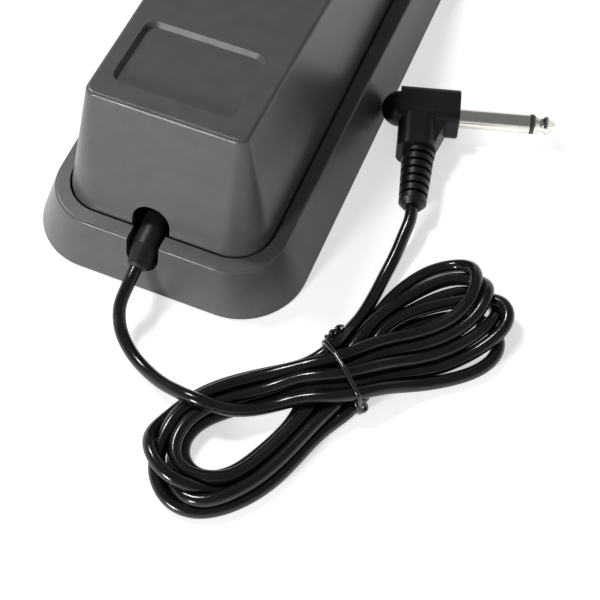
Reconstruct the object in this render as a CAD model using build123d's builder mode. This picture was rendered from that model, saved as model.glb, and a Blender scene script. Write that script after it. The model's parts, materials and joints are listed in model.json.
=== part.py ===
from build123d import *
import os
from math import atan, cos, pi, radians, sin, tan

# A foot-operated sustain pedal for a keyboard. A flared base frame carries a tall hollow treadle,
# hinged on a steel pin at the low front end. Pressing the treadle shuts a microswitch. The cord leaves
# at the rear through a boot, lies in a tied hank and ends in a right-angle 6.35 mm jack plug.
# Millimetres, +Z up, rear at +Y. Origin: centre of the base's footprint, on the floor.

os.makedirs("parts", exist_ok=True)

# ---------------------------------------------------------------- driving dimensions
base_width = 87.2
base_length = 190.0
base_corner = 20.8
foot_proud = 0.6  # how far the rubber feet hold the skirt off the floor
rim_height = 17.3  # skirt, from its lower edge to the ledge on top
rim_side_inset_rear = 6.75
rim_side_inset_front = 4.6
rim_rear_inset = 5.2
rim_front_inset = 7.0
rim_corner = 16.2
frame_wall = 2.4
rim_round = 0.9

treadle_gap = 0.7  # running gap between the treadle and the ledge around it
ledge_width = 3.65  # along each side, at the rear
treadle_foot_width = base_width - 2 * (rim_side_inset_rear + ledge_width + treadle_gap)
treadle_rear_inset = 10.6
treadle_front_inset = 12.0
treadle_foot_corner = 12.1
treadle_side_lean = 7.7  # each side, from the ledge up to the top of the rear edge
treadle_top_width = treadle_foot_width - 2 * treadle_side_lean
treadle_top_rear_inset = 23.6
treadle_top_front_inset = 19.0
treadle_top_corner = 3.1
treadle_height = 56.8  # top of the rear edge, above the floor
treadle_wall = 2.2
treadle_band = 5.8  # upright part of the wall that stays inside the frame
crown_slope = 0.055  # fall per millimetre of the label end of the top
toe_height = 20.3  # top of the treadle's front end, above the floor
knee_y = -1.0  # where the label end turns into the tread slope
knee_radius = 110.0
treadle_edge_round = 1.3
press_angle = 2.0  # treadle travel in degrees

plate_thickness = 2.2
plate_recess = 0.4
plate_clearance = 0.3

hinge_inset = 21.0  # pin axis, back from the base's front edge
hinge_z = 11.5
pin_radius = 2.0
pin_end_gap = 1.3  # between the pin's ends and the treadle's walls
pin_length = treadle_foot_width - 2 * (treadle_wall + pin_end_gap)
bearing_radius = 5.0
bearing_width = 4.0
lug_x = pin_length / 2 - 3.0  # middle of each treadle lug
bearing_x = lug_x - 1.5 * bearing_width  # middle of each bearing post on the plate
running_clearance = 0.05
clip_thickness = 0.6

cord_diameter = 4.0
floor_clearance = 0.1

# ---------------------------------------------------------------- derived places
front_y = -base_length / 2
rear_y = base_length / 2
rim_z = foot_proud + rim_height
plate_z = foot_proud + plate_recess
plate_top = plate_z + plate_thickness
ledge_underside = rim_z - frame_wall
treadle_rear = rear_y - treadle_rear_inset
treadle_front = front_y + treadle_front_inset
band_z = rim_z - treadle_band
hinge_y = front_y + hinge_inset
press_radians = radians(press_angle)
crown_y = rear_y - treadle_top_rear_inset
knee_z = treadle_height - crown_slope * (crown_y - knee_y)
tread_slope = (knee_z - toe_height) / (knee_y - treadle_front)


def travel(y):
    """How far a point of the treadle at y moves down when the treadle is fully pressed."""
    return (y - hinge_y) * sin(press_radians)


def frame_outline(z, inset):
    """Corner points and corner radius of the skirt at height z, moved in by inset."""
    rise = (z - foot_proud) / rim_height
    half_rear = base_width / 2 - rim_side_inset_rear * rise - inset
    half_front = base_width / 2 - rim_side_inset_front * rise - inset
    low_y = front_y + rim_front_inset * rise + inset
    high_y = rear_y - rim_rear_inset * rise - inset
    radius = base_corner + (rim_corner - base_corner) * rise - inset
    points = [(-half_front, low_y), (half_front, low_y), (half_rear, high_y), (-half_rear, high_y)]
    return points, radius


def treadle_section(z, inset):
    """Width, length, middle y and corner radius of the treadle's outside at height z."""
    rise = (z - rim_z) / (treadle_height - rim_z)
    width = treadle_foot_width + (treadle_top_width - treadle_foot_width) * rise - 2 * inset
    high_y = treadle_rear + (treadle_rear_inset - treadle_top_rear_inset) * rise - inset
    low_y = treadle_front + (treadle_top_front_inset - treadle_front_inset) * rise + inset
    radius = treadle_foot_corner + (treadle_top_corner - treadle_foot_corner) * rise - inset
    return width, high_y - low_y, (high_y + low_y) / 2, max(radius, 0.6)


def top_line(y):
    """Height of the treadle's top surface at y, without the bend at the knee."""
    if y > knee_y:
        return knee_z + crown_slope * (y - knee_y)
    return knee_z - tread_slope * (knee_y - y)


# ---------------------------------------------------------------- base frame
boot_x = 1.8  # cord boot, to one side of the middle
boot_end_y = rear_y + 0.6
boot_end_z = 12.6
boot_tilt = radians(10)
boot_end_radius = 3.1
boot_root_radius = 4.3
boot_length = 17.6
boot_flange_radius = 6.2
boot_flange = 1.6
boot_flange_start = 7.8
boot_clearance = 0.15
notch_gap = 0.9
boot_direction = Vector(0, cos(boot_tilt), -sin(boot_tilt))
boot_end = Vector(boot_x, boot_end_y, boot_end_z)
boot_root = boot_end - boot_direction * boot_length
boot_plane = Plane(origin=boot_root, x_dir=(1, 0, 0), z_dir=boot_direction)

boss_radius = 2.2
boss_reach = (treadle_foot_corner + treadle_gap + boss_radius) * cos(pi / 4)
boss_x = treadle_foot_width / 2 - treadle_foot_corner + boss_reach
boss_rear_y = treadle_rear - treadle_foot_corner + boss_reach
boss_front_y = treadle_front + treadle_foot_corner - boss_reach
boss_places = [(side * boss_x, y) for side in (-1, 1) for y in (boss_front_y, boss_rear_y)]
screw_shank_radius = 1.4
screw_pilot_radius = 1.2
screw_head_radius = 2.5
screw_head_height = 1.4
screw_length = 9.0
screw_clearance = 0.2
thread_clearance = 0.03
head_recess = 1.2
driver_slot = 0.8
driver_reach = 3.0

opening_width = treadle_foot_width + 2 * treadle_gap
opening_length = treadle_rear - treadle_front + 2 * treadle_gap
opening_middle = (treadle_rear + treadle_front) / 2
notch_radius = boot_root_radius + notch_gap

def finish(part, name):
    """Label one finished piece and write its STEP file."""
    part.label = name
    export_step(part, f"parts/{name}.step")


with BuildPart() as frame_cavity:
    for z in (foot_proud, ledge_underside):
        points, radius = frame_outline(z, frame_wall)
        with BuildSketch(Plane.XY.offset(z)) as cavity_outline:
            Polygon(*points, align=None)
            fillet(cavity_outline.vertices(), radius)
    loft()

with BuildPart() as base_frame:
    for z in (foot_proud, rim_z):
        points, radius = frame_outline(z, 0)
        with BuildSketch(Plane.XY.offset(z)) as skirt_outline:
            Polygon(*points, align=None)
            fillet(skirt_outline.vertices(), radius)
    loft()
    fillet(base_frame.faces().sort_by(Axis.Z)[-1].edges(), rim_round)
    add(frame_cavity.part, mode=Mode.SUBTRACT)
    with BuildSketch(Plane.XY.offset(ledge_underside - frame_wall)):
        with Locations((0, opening_middle)):
            RectangleRounded(opening_width, opening_length, treadle_foot_corner + treadle_gap)
    extrude(amount=3 * frame_wall, mode=Mode.SUBTRACT)
    with BuildSketch(Plane.XY.offset(plate_top)):
        with Locations(*boss_places):
            Circle(boss_radius)
    extrude(amount=ledge_underside - plate_top + frame_wall / 2)
    with BuildSketch(Plane.XY.offset(plate_top)):
        with Locations(*boss_places):
            Circle(screw_pilot_radius)
    extrude(amount=screw_length, mode=Mode.SUBTRACT)
    with BuildSketch(boot_plane):
        Circle(notch_radius)
    extrude(amount=boot_length, mode=Mode.SUBTRACT)
    with BuildSketch(boot_plane):
        with Locations((0, -rim_z / 2)):
            Rectangle(2 * notch_radius, rim_z)
    extrude(amount=boot_length, mode=Mode.SUBTRACT)
finish(base_frame.part, "base_frame")

# ---------------------------------------------------------------- treadle shell
roof = 2.5
hook_reach = 2.1
hook_length = 8.0
hook_height = 3.0
hook_clearance = 0.25
hook_y = 66.0
arch_width = 12.2
arch_clearance = 0.5
arch_corner = 5.6
arch_inner_y = treadle_rear - 2 * treadle_wall
boot_top = boot_end_z + (boot_end_y - arch_inner_y) * tan(boot_tilt) + boot_root_radius
arch_top = boot_top + travel(arch_inner_y) + arch_clearance

label_x = 1.0
label_margin = 5.9
label_width = treadle_top_width - 2 * label_margin
label_length = 25.4
label_depth = 1.7
label_y = 52.0
label_corner = 3.6
label_draft = 25

tread_rib_rear_y = -24.0
tread_rib_front_y = -66.0
tread_rib_count = 6
tread_rib_margin = 4.8
tread_rib_length = treadle_top_width - 2 * tread_rib_margin
tread_rib_width = 2.6
tread_rib_height = 0.7

spring_y = 20.0
spring_outer_radius = 6.5
spring_wire_radius = 0.65
spring_top_z = 30.0
spring_guide_radius = 4.4
spring_guide_length = 6.0
spring_flange = 2.0
spring_flange_radius = 7.6
boss_rib = 2.0

stop_y = 60.0
stop_margin = 8.3
stop_x = treadle_foot_width / 2 - treadle_wall - stop_margin
stop_inner_x = stop_x - 6.0
stop_rib = 2.0
bumper_radius = 4.0
bumper_height = 3.5
bumper_gap = 0.1
bumper_top = plate_top + bumper_height
stop_rib_z = bumper_top + travel(stop_y + stop_rib / 2) + bumper_gap

lever_pivot_y = -38.6
lever_pivot_z = 19.2
lever_contact = 16.0  # from the lever's pivot to the treadle's presser
lever_rest_angle = radians(9.5)
lever_thickness = 0.4
contact_gap = 0.3
presser_y = lever_pivot_y + lever_contact * cos(lever_rest_angle)
presser_z = lever_pivot_z + lever_contact * sin(lever_rest_angle) + lever_thickness / 2 + contact_gap
presser_thickness = 3.0
presser_width = 5.0

crown_line = [(rear_y, top_line(rear_y)), (knee_y, knee_z), (front_y, top_line(front_y))]


def side_profile(drop):
    """Side view of everything under the treadle's top surface, lowered by drop."""
    line = [(y, z - drop) for y, z in crown_line]
    with BuildSketch(Plane.YZ.offset(-base_width / 2)) as profile:
        with BuildLine():
            top = FilletPolyline(*line, radius=knee_radius - drop)
            Polyline(top @ 1, (front_y, -base_width), (rear_y, -base_width), top @ 0)
        make_face()
    return profile.sketch


def treadle_block(inset, drop):
    """The treadle's outside as a solid block, moved in by inset and down by drop."""
    above = treadle_height + treadle_wall
    with BuildPart() as block:
        for z in (rim_z, above):
            width, length, middle, radius = treadle_section(z, inset)
            with BuildSketch(Plane.XY.offset(z)):
                with Locations((0, middle)):
                    RectangleRounded(width, length, radius)
        loft()
        width, length, middle, radius = treadle_section(rim_z, inset)
        with BuildSketch(Plane.XY.offset(band_z)):
            with Locations((0, middle)):
                RectangleRounded(width, length, radius)
        extrude(amount=rim_z - band_z)
        add(side_profile(drop))
        extrude(amount=base_width, dir=(1, 0, 0), mode=Mode.INTERSECT)
    return block.part


treadle_outside = treadle_block(0, 0)
treadle_inside = treadle_block(treadle_wall, roof)

label_plane = Plane(
    origin=(label_x, label_y, top_line(label_y)), x_dir=(1, 0, 0), z_dir=(0, -crown_slope, 1)
)
tread_rib_y = (tread_rib_rear_y + tread_rib_front_y) / 2
tread_rib_run = (tread_rib_rear_y - tread_rib_front_y) / cos(atan(tread_slope))
tread_rib_plane = Plane(
    origin=(0, tread_rib_y, top_line(tread_rib_y)), x_dir=(1, 0, 0), z_dir=(0, -tread_slope, 1)
)

with BuildPart() as treadle_ribs:
    for side in (-1, 1):
        with BuildSketch(Plane.YZ.offset(side * lug_x - bearing_width / 2)):
            with Locations((hinge_y, hinge_z)):
                Circle(bearing_radius)
            with Locations((hinge_y, hinge_z + treadle_height / 2)):
                Rectangle(2 * bearing_radius, treadle_height)
        extrude(amount=bearing_width)
    with BuildSketch(Plane.XY.offset(stop_rib_z)):
        for side in (-1, 1):
            with Locations((side * (stop_inner_x + treadle_foot_width / 2) / 2, stop_y)):
                Rectangle(treadle_foot_width / 2 - stop_inner_x, stop_rib)
    extrude(amount=treadle_height / 3)
    with BuildSketch(Plane.XY.offset(spring_top_z - spring_guide_length)):
        with Locations((0, spring_y)):
            Circle(spring_guide_radius)
    extrude(amount=spring_guide_length)
    with BuildSketch(Plane.XY.offset(spring_top_z)):
        with Locations((0, spring_y)):
            Circle(spring_flange_radius)
    extrude(amount=spring_flange)
    with BuildSketch(Plane.XY.offset(spring_top_z + spring_flange)):
        with Locations((0, spring_y)):
            Rectangle(2 * spring_flange_radius, boss_rib)
            Rectangle(boss_rib, 2 * spring_flange_radius)
    extrude(amount=treadle_height - spring_top_z)
    with BuildSketch(Plane.YZ.offset(-presser_width / 2)):
        with Locations((presser_y, presser_z + presser_thickness / 2)):
            Circle(presser_thickness / 2)
        with Locations((presser_y, presser_z + presser_thickness / 2 + treadle_height / 2)):
            Rectangle(presser_thickness, treadle_height)
    extrude(amount=presser_width)
    add(treadle_outside, mode=Mode.INTERSECT)

with BuildPart() as treadle_shell:
    add(treadle_outside)
    top_edges = treadle_shell.faces().filter_by(lambda face: face.normal_at().Z > 0.9).edges()
    fillet(
        top_edges.filter_by(
            lambda edge: abs(edge.center().X) > 1 or not treadle_front + 1 < edge.center().Y < crown_y - 2
        ),
        treadle_edge_round,
    )
    add(treadle_inside, mode=Mode.SUBTRACT)
    add(treadle_ribs.part)
    for side in (-1, 1):
        with BuildSketch(Plane.XY.offset(ledge_underside - hook_clearance - hook_height)):
            with Locations((side * (treadle_foot_width + hook_reach - treadle_wall) / 2, hook_y)):
                Rectangle(hook_reach + treadle_wall, hook_length)
        extrude(amount=hook_height)
    with BuildSketch(Plane.YZ.offset(-lug_x - bearing_width)):
        with Locations((hinge_y, hinge_z)):
            Circle(pin_radius + running_clearance)
    extrude(amount=2 * (lug_x + bearing_width), mode=Mode.SUBTRACT)
    with BuildSketch(Plane.XZ.offset(-treadle_rear - 1)) as arch:
        with Locations((boot_x, arch_top / 2)):
            Rectangle(arch_width, arch_top)
        fillet(arch.vertices().group_by(Axis.Y)[-1], arch_corner)
    extrude(amount=4 * treadle_wall, mode=Mode.SUBTRACT)
    with BuildSketch(label_plane):
        RectangleRounded(label_width, label_length, label_corner)
    extrude(amount=-label_depth, taper=label_draft, mode=Mode.SUBTRACT)
    with BuildSketch(tread_rib_plane.offset(-roof / 2)):
        with GridLocations(0, tread_rib_run / (tread_rib_count - 1), 1, tread_rib_count):
            SlotOverall(tread_rib_length, tread_rib_width)
    extrude(amount=roof / 2 + tread_rib_height)
finish(treadle_shell.part, "treadle_shell")

# ---------------------------------------------------------------- bottom plate
plate_rise = (plate_top - foot_proud) / rim_height
plate_inset = frame_wall + plate_clearance
plate_half = base_width / 2 - rim_side_inset_rear * plate_rise - plate_inset
plate_rear = rear_y - rim_rear_inset * plate_rise - plate_inset
plate_front = front_y + rim_front_inset * plate_rise + plate_inset
plate_corner = base_corner - plate_inset - (base_corner - rim_corner) * plate_rise

foot_radius = 6.5
foot_thickness = 1.6
foot_recess = foot_thickness - plate_z
foot_clearance = 0.1
foot_gap = 5.2  # between a foot and the head of the screw beside it
foot_side_step = 4.0
foot_x = boss_x - foot_side_step
foot_rear_y = boss_rear_y - screw_head_radius - foot_gap - foot_radius
foot_front_y = boss_front_y + screw_head_radius + foot_gap + foot_radius
foot_places = [(side * foot_x, y) for side in (-1, 1) for y in (foot_front_y, foot_rear_y)]

cup_wall = 1.6
cup_height = 4.0
cup_clearance = 0.4

clamp_y = 42.0
clamp_spread = 6.5
clamp_boss_radius = 2.6
clamp_width = 5.0
clamp_bar = 2.0
clamp_screw_radius = 1.0
cord_inner_z = plate_top + cord_diameter / 2 + floor_clearance
clamp_boss_top = plate_top + cord_diameter

switch_width = 6.4
switch_length = 19.8
switch_height = 10.2
switch_front_y = -40.0
switch_z = 7.6
switch_wall = 2.2
switch_corner = 0.4
switch_screw_head_radius = 2.0
switch_hole_spacing = 9.5
switch_hole_radius = 1.2
switch_hole_z = switch_z + 3.0
switch_middle_y = switch_front_y + switch_length / 2
switch_top = switch_z + switch_height

with BuildPart() as bottom_plate:
    with BuildSketch(Plane.XY.offset(plate_z)):
        with Locations((0, (plate_rear + plate_front) / 2)):
            RectangleRounded(2 * plate_half, plate_rear - plate_front, plate_corner)
    extrude(amount=plate_thickness)
    with BuildSketch(Plane.XY.offset(plate_z)):
        with Locations(*boss_places):
            Circle(screw_shank_radius + screw_clearance)
    extrude(amount=plate_thickness, mode=Mode.SUBTRACT)
    with BuildSketch(Plane.XY.offset(plate_z)):
        with Locations(*boss_places):
            Circle(screw_head_radius + screw_clearance)
    extrude(amount=head_recess, mode=Mode.SUBTRACT)
    with BuildSketch(Plane.XY.offset(plate_z)):
        with Locations(*foot_places):
            Circle(foot_radius + foot_clearance)
    extrude(amount=foot_recess, mode=Mode.SUBTRACT)
    for side in (-1, 1):
        with BuildSketch(Plane.YZ.offset(side * bearing_x - bearing_width / 2)):
            with Locations((hinge_y, hinge_z)):
                Circle(bearing_radius)
            with Locations((hinge_y, (hinge_z + plate_top) / 2)):
                Rectangle(2 * bearing_radius, hinge_z - plate_top)
            with Locations((hinge_y, hinge_z)):
                Circle(pin_radius + running_clearance / 2, mode=Mode.SUBTRACT)
        extrude(amount=bearing_width)
    with BuildSketch(Plane.XY.offset(plate_top)):
        with Locations((0, spring_y)):
            Circle(spring_outer_radius + cup_clearance + cup_wall)
            Circle(spring_outer_radius + cup_clearance, mode=Mode.SUBTRACT)
    extrude(amount=cup_height)
    with BuildSketch(Plane.XY.offset(plate_top)):
        with Locations((switch_width / 2 + switch_wall / 2, switch_middle_y)):
            Rectangle(switch_wall, switch_length + 2 * switch_wall)
    extrude(amount=switch_top - plate_top)
    with BuildSketch(Plane.YZ.offset(switch_width / 2)):
        with Locations((switch_middle_y, switch_hole_z)):
            with GridLocations(switch_hole_spacing, 0, 2, 1):
                Circle(switch_hole_radius - screw_clearance)
    extrude(amount=switch_wall, mode=Mode.SUBTRACT)
    with BuildSketch(Plane.XY.offset(plate_top)):
        with Locations((-clamp_spread, clamp_y), (clamp_spread, clamp_y)):
            Circle(clamp_boss_radius)
    extrude(amount=clamp_boss_top - plate_top)
    with BuildSketch(Plane.XY.offset(plate_top)):
        with Locations((-clamp_spread, clamp_y), (clamp_spread, clamp_y)):
            Circle(clamp_screw_radius)
    extrude(amount=clamp_boss_top - plate_top, mode=Mode.SUBTRACT)
finish(bottom_plate.part, "bottom_plate")

with BuildPart() as rubber_feet:
    with BuildSketch(Plane.XY):
        with Locations(*foot_places):
            Circle(foot_radius)
    extrude(amount=foot_thickness)
finish(rubber_feet.part, "rubber_feet")

# ---------------------------------------------------------------- screws and stops
with BuildPart() as plate_screws:
    with BuildSketch(Plane.XY.offset(plate_z + head_recess - screw_head_height)):
        with Locations(*boss_places):
            Circle(screw_head_radius)
    extrude(amount=screw_head_height)
    with BuildSketch(Plane.XY.offset(plate_z + head_recess)):
        with Locations(*boss_places):
            Circle(screw_pilot_radius - thread_clearance)
    extrude(amount=screw_length)
    with BuildSketch(Plane.XY.offset(plate_z + head_recess - screw_head_height)):
        with Locations(*boss_places):
            Rectangle(driver_reach, driver_slot)
            Rectangle(driver_slot, driver_reach)
    extrude(amount=screw_head_height / 2, mode=Mode.SUBTRACT)
finish(plate_screws.part, "plate_screws")

with BuildPart() as stop_bumpers:
    with BuildSketch(Plane.XY.offset(plate_top)):
        with Locations((-stop_x, stop_y), (stop_x, stop_y)):
            Circle(bumper_radius)
    extrude(amount=bumper_height)
    chamfer(stop_bumpers.faces().group_by(Axis.Z)[-1].edges(), bumper_height / 6)
finish(stop_bumpers.part, "stop_bumpers")

# ---------------------------------------------------------------- hinge pin and its clips
clip_inner_x = bearing_x + bearing_width / 2 + running_clearance
groove_depth = 0.4
groove_reach = 1.0
clip_outer_radius = 4.0
clip_opening = 2.4

with BuildPart() as hinge_pin:
    with BuildSketch(Plane.YZ.offset(-pin_length / 2)):
        with Locations((hinge_y, hinge_z)):
            Circle(pin_radius)
    extrude(amount=pin_length)
    chamfer(hinge_pin.faces().sort_by(Axis.X)[0].edges(), groove_depth)
    chamfer(hinge_pin.faces().sort_by(Axis.X)[-1].edges(), groove_depth)
    for start in (clip_inner_x, -clip_inner_x - clip_thickness):
        with BuildSketch(Plane.YZ.offset(start - running_clearance)):
            with Locations((hinge_y, hinge_z)):
                Circle(pin_radius + groove_reach)
                Circle(pin_radius - groove_depth, mode=Mode.SUBTRACT)
        extrude(amount=clip_thickness + 2 * running_clearance, mode=Mode.SUBTRACT)
finish(hinge_pin.part, "hinge_pin")

with BuildPart() as pin_clips:
    for start in (clip_inner_x, -clip_inner_x - clip_thickness):
        with BuildSketch(Plane.YZ.offset(start)):
            with Locations((hinge_y, hinge_z)):
                Circle(clip_outer_radius)
                Circle(pin_radius - groove_depth + running_clearance, mode=Mode.SUBTRACT)
            with Locations((hinge_y, hinge_z - clip_outer_radius)):
                Rectangle(clip_opening, 2 * clip_outer_radius, mode=Mode.SUBTRACT)
        extrude(amount=clip_thickness)
finish(pin_clips.part, "pin_clips")

# ---------------------------------------------------------------- return spring
spring_seat_gap = 0.15
spring_turns = 7.5
spring_mean_radius = spring_outer_radius - spring_wire_radius
spring_foot_z = plate_top + spring_wire_radius + spring_seat_gap
spring_rise = spring_top_z - spring_seat_gap - spring_wire_radius - spring_foot_z

with BuildPart() as return_spring:
    with BuildLine() as coil_line:
        Helix(
            pitch=spring_rise / spring_turns,
            height=spring_rise,
            radius=spring_mean_radius,
            center=(0, spring_y, spring_foot_z),
        )
    with BuildSketch(Plane(origin=coil_line.line @ 0, z_dir=coil_line.line % 0)):
        Circle(spring_wire_radius)
    sweep(path=coil_line.line, is_frenet=True)
finish(return_spring.part, "return_spring")

# ---------------------------------------------------------------- microswitch
ridge_length = 2.8
ridge_width = 3.0
trunnion_radius = 0.6
trunnion_length = 4.2
plunger_reach = 4.5  # plunger axis from the lever's pivot
plunger_y = lever_pivot_y + plunger_reach
plunger_radius = 0.8
plunger_gap = 0.15
plunger_travel = plunger_reach * sin(press_radians * (presser_y - hinge_y) / lever_contact)
plunger_hole = 4.6
terminal_pitch = 8.8
terminal_width = 3.2
terminal_thickness = 0.5
terminal_length = 3.5
terminal_places = [(0, switch_middle_y + step * terminal_pitch) for step in (-1, 0, 1)]

with BuildPart() as switch_body:
    with BuildSketch(Plane.XY.offset(switch_z)):
        with Locations((0, switch_middle_y)):
            Rectangle(switch_width, switch_length)
    extrude(amount=switch_height)
    fillet(switch_body.edges().filter_by(Axis.Z), switch_corner)
    with BuildSketch(Plane.XY.offset(switch_top)):
        with Locations((0, switch_front_y + ridge_length / 2)):
            Rectangle(ridge_width, ridge_length)
    extrude(amount=lever_pivot_z - switch_top + ridge_length / 3)
    with BuildSketch(Plane.YZ.offset(-trunnion_length / 2)):
        with Locations((lever_pivot_y, lever_pivot_z)):
            Circle(trunnion_radius)
    extrude(amount=trunnion_length)
    with BuildSketch(Plane.YZ.offset(-switch_width / 2)):
        with Locations((switch_middle_y, switch_hole_z)):
            with GridLocations(switch_hole_spacing, 0, 2, 1):
                Circle(switch_hole_radius)
    extrude(amount=switch_width, mode=Mode.SUBTRACT)
    with BuildSketch(Plane.XY.offset(switch_top - plunger_hole)):
        with Locations((0, plunger_y)):
            Circle(plunger_radius + 2 * running_clearance)
    extrude(amount=plunger_hole, mode=Mode.SUBTRACT)
finish(switch_body.part, "switch_body")

lever_length = 24.0
lever_width = 4.0
lever_start = 1.9  # blade begins this far from the pivot
cheek_length = 4.2
cheek_radius = 1.15
cheek_thickness = 0.4
lever_plane = Plane(
    origin=(0, lever_pivot_y, lever_pivot_z),
    x_dir=(0, cos(lever_rest_angle), sin(lever_rest_angle)),
    z_dir=(1, 0, 0),
)

with BuildPart() as switch_lever:
    with BuildSketch(lever_plane.offset(-lever_width / 2)):
        with Locations(((lever_start + lever_length) / 2, 0)):
            Rectangle(lever_length - lever_start, lever_thickness)
    extrude(amount=lever_width)
    for start in (-lever_width / 2, lever_width / 2 - cheek_thickness):
        with BuildSketch(lever_plane.offset(start)):
            Circle(cheek_radius)
            with Locations((cheek_length / 2, 0)):
                Rectangle(cheek_length, 2 * cheek_radius)
            Circle(trunnion_radius + running_clearance, mode=Mode.SUBTRACT)
        extrude(amount=cheek_thickness)
finish(switch_lever.part, "switch_lever")

plunger_top = lever_pivot_z + plunger_reach * tan(lever_rest_angle) - lever_thickness / 2 - plunger_gap
plunger_bottom = switch_top - plunger_hole + 2 * plunger_travel

with BuildPart() as switch_plunger:
    with BuildSketch(Plane.XY.offset(plunger_bottom)):
        with Locations((0, plunger_y)):
            Circle(plunger_radius)
    extrude(amount=plunger_top - plunger_bottom)
    fillet(switch_plunger.faces().sort_by(Axis.Z)[-1].edges(), plunger_radius / 3)
finish(switch_plunger.part, "switch_plunger")

with BuildPart() as switch_terminals:
    with BuildSketch(Plane.XY.offset(switch_z - terminal_length)):
        with Locations(*terminal_places):
            Rectangle(terminal_thickness, terminal_width)
    extrude(amount=terminal_length)
finish(switch_terminals.part, "switch_terminals")

with BuildPart() as switch_screws:
    with BuildSketch(Plane.YZ.offset(-switch_width / 2 - screw_head_height)):
        with Locations((switch_middle_y, switch_hole_z)):
            with GridLocations(switch_hole_spacing, 0, 2, 1):
                Circle(switch_screw_head_radius)
    extrude(amount=screw_head_height)
    with BuildSketch(Plane.YZ.offset(-switch_width / 2)):
        with Locations((switch_middle_y, switch_hole_z)):
            with GridLocations(switch_hole_spacing, 0, 2, 1):
                Circle(switch_hole_radius - screw_clearance - thread_clearance)
    extrude(amount=switch_width + switch_wall)
finish(switch_screws.part, "switch_screws")


# ---------------------------------------------------------------- cord boot, clamp and wires
def corner_radii(points):
    """As large an arc at each corner of a route as its two runs allow."""
    radii = []
    for before, corner, after in zip(points, points[1:], points[2:]):
        arriving = Vector(corner) - Vector(before)
        leaving = Vector(after) - Vector(corner)
        half_turn = radians(arriving.get_angle(leaving)) / 2
        radii.append(0.45 * min(arriving.length, leaving.length) / tan(half_turn))
    return radii


def tube(points, radius, name):
    """A round cord or wire along a route, as straight runs joined by tangent arcs."""
    radii = corner_radii(points)
    with BuildPart() as piece:
        with BuildLine() as route:
            FilletPolyline(*points, radius=radii)
        with BuildSketch(Plane(origin=route.line @ 0, z_dir=route.line % 0)):
            Circle(radius)
        sweep(path=route.line)
    finish(piece.part, name)
    length = sum(edge.length for edge in route.edges())
    share = piece.part.volume / (pi * radius**2 * length)
    print(name, "length", round(length, 1), "volume share", round(share, 4))
    print("  radii", [round(value, 1) for value in radii])


boot_taper_start = 10.5
boot_tip_round = 0.8
boot_side_plane = Plane(origin=boot_root, x_dir=boot_direction, z_dir=(1, 0, 0))
boot_axis = Axis(boot_root, boot_direction)

with BuildPart() as cord_boot:
    with BuildSketch(boot_side_plane):
        with Locations((boot_flange_start + boot_flange / 2, boot_flange_radius / 2)):
            Rectangle(boot_flange, boot_flange_radius)
    revolve(axis=boot_axis)
    with BuildSketch(Plane.XY.offset(ledge_underside - boot_clearance)):
        with Locations((boot_x, rear_y)):
            Rectangle(4 * boot_flange_radius, 2 * boot_length)
    extrude(amount=2 * boot_flange_radius, mode=Mode.SUBTRACT)
    with BuildSketch(boot_side_plane):
        Polygon(
            (0, 0),
            (0, boot_root_radius),
            (boot_taper_start, boot_root_radius),
            (boot_length - boot_tip_round, boot_end_radius),
            (boot_length, boot_end_radius - boot_tip_round),
            (boot_length, 0),
            align=None,
        )
    revolve(axis=boot_axis)
finish(cord_boot.part, "cord_boot")

with BuildPart() as cord_clamp:
    with BuildSketch(Plane.XY.offset(clamp_boss_top)):
        with Locations((0, clamp_y)):
            SlotOverall(2 * (clamp_spread + clamp_boss_radius), clamp_width)
            with Locations((-clamp_spread, 0), (clamp_spread, 0)):
                Circle(clamp_screw_radius + screw_clearance, mode=Mode.SUBTRACT)
    extrude(amount=clamp_bar)
    with BuildSketch(Plane.XZ.offset(-clamp_y - clamp_width / 2)):
        with Locations((0, cord_inner_z)):
            Circle(cord_diameter / 2 + running_clearance)
    extrude(amount=clamp_width, mode=Mode.SUBTRACT)
finish(cord_clamp.part, "cord_clamp")

clamp_head_radius = 1.9
clamp_head_height = 1.3
with BuildPart() as clamp_screws:
    with BuildSketch(Plane.XY.offset(clamp_boss_top + clamp_bar)):
        with Locations((-clamp_spread, clamp_y), (clamp_spread, clamp_y)):
            Circle(clamp_head_radius)
    extrude(amount=clamp_head_height)
    with BuildSketch(Plane.XY.offset(plate_top + floor_clearance)):
        with Locations((-clamp_spread, clamp_y), (clamp_spread, clamp_y)):
            Circle(clamp_screw_radius - thread_clearance)
    extrude(amount=clamp_boss_top + clamp_bar - plate_top - floor_clearance)
finish(clamp_screws.part, "clamp_screws")

inner_cord_end_y = 38.8
wire_radius = 0.6
wire_spread = 0.8
wire_z = plate_top + wire_radius + floor_clearance
inner_turn = boot_root - boot_direction * 7
inner_route = [
    boot_root,
    inner_turn,
    (1.5, 62.6, 13.8),
    (0.8, 55.0, 8.9),
    (0.0, 48.2, cord_inner_z),
    (0.0, inner_cord_end_y, cord_inner_z),
]
tube(inner_route, cord_diameter / 2, "cord_inner")

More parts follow.
